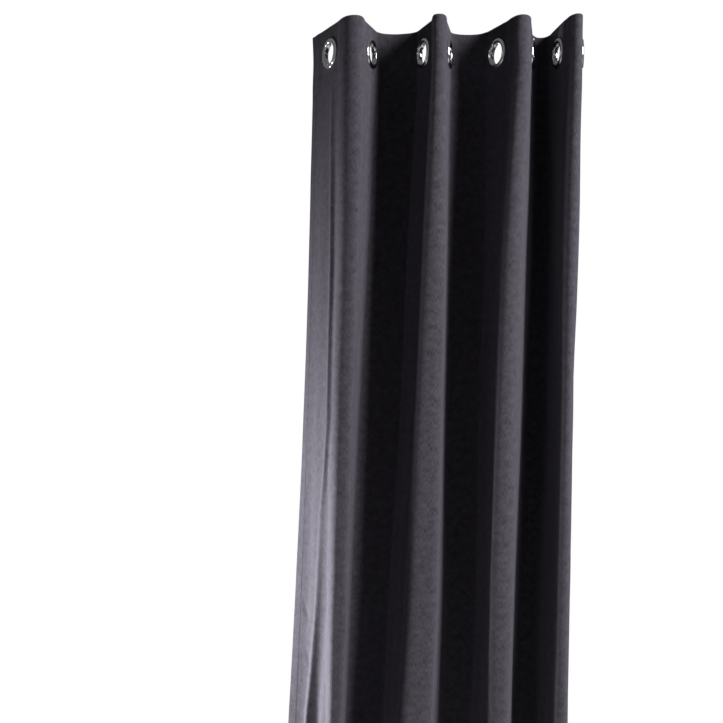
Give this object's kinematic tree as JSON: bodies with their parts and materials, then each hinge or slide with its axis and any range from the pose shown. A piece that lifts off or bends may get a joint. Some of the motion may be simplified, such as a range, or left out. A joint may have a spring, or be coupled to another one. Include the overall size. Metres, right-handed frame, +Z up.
{
  "type": "eyelet curtain panel",
  "caption": "Full-length fabric curtain panel with metal eyelets along a stiffened header, gathered into deep folds on its rod.",
  "frame": {"origin": "on the rod's axis, midway between the first and the last eyelet", "axes": "+Z up, +X along the rod to the right as seen from the room, -Y towards the room"},
  "size_m": [0.6417, 0.1703, 2.25],
  "materials": {
    "cloth": "matt charcoal, softly brushed",
    "tape": "stiff white buckram",
    "ring": "polished"
  },
  "bodies": {
    "section_1": {"cloth_1": "cloth", "header_tape_1": "tape", "eyelet_front_1": "ring", "eyelet_back_1": "ring"},
    "section_2": {"cloth_2": "cloth", "header_tape_2": "tape", "eyelet_front_2": "ring", "eyelet_back_2": "ring"},
    "section_3": {"cloth_3": "cloth", "header_tape_3": "tape", "eyelet_front_3": "ring", "eyelet_back_3": "ring"},
    "section_4": {"cloth_4": "cloth", "header_tape_4": "tape", "eyelet_front_4": "ring", "eyelet_back_4": "ring"},
    "section_5": {"cloth_5": "cloth", "header_tape_5": "tape", "eyelet_front_5": "ring", "eyelet_back_5": "ring"},
    "section_6": {"cloth_6": "cloth", "header_tape_6": "tape", "eyelet_front_6": "ring", "eyelet_back_6": "ring"},
    "section_7": {"cloth_7": "cloth", "header_tape_7": "tape", "eyelet_front_7": "ring", "eyelet_back_7": "ring"},
    "section_8": {"cloth_8": "cloth", "header_tape_8": "tape", "eyelet_front_8": "ring", "eyelet_back_8": "ring"}
  },
  "joints": [
    {"name": "slide_1", "type": "slide", "parent": "section_2", "child": "section_1", "axis": [-1, 0, 0], "range_m": [0, 0.06]},
    {"name": "slide_2", "type": "slide", "parent": "section_3", "child": "section_2", "axis": [-1, 0, 0], "range_m": [0, 0.049]},
    {"name": "slide_3", "type": "slide", "parent": "section_4", "child": "section_3", "axis": [-1, 0, 0], "range_m": [0, 0.06]},
    {"name": "slide_4", "type": "slide", "parent": "section_5", "child": "section_4", "axis": [-1, 0, 0], "range_m": [0, 0.058]},
    {"name": "slide_5", "type": "slide", "parent": "section_6", "child": "section_5", "axis": [-1, 0, 0], "range_m": [0, 0.06]},
    {"name": "slide_6", "type": "slide", "parent": "section_7", "child": "section_6", "axis": [-1, 0, 0], "range_m": [0, 0.06]},
    {"name": "slide_7", "type": "slide", "parent": "section_8", "child": "section_7", "axis": [-1, 0, 0], "range_m": [0, 0.06]}
  ]
}
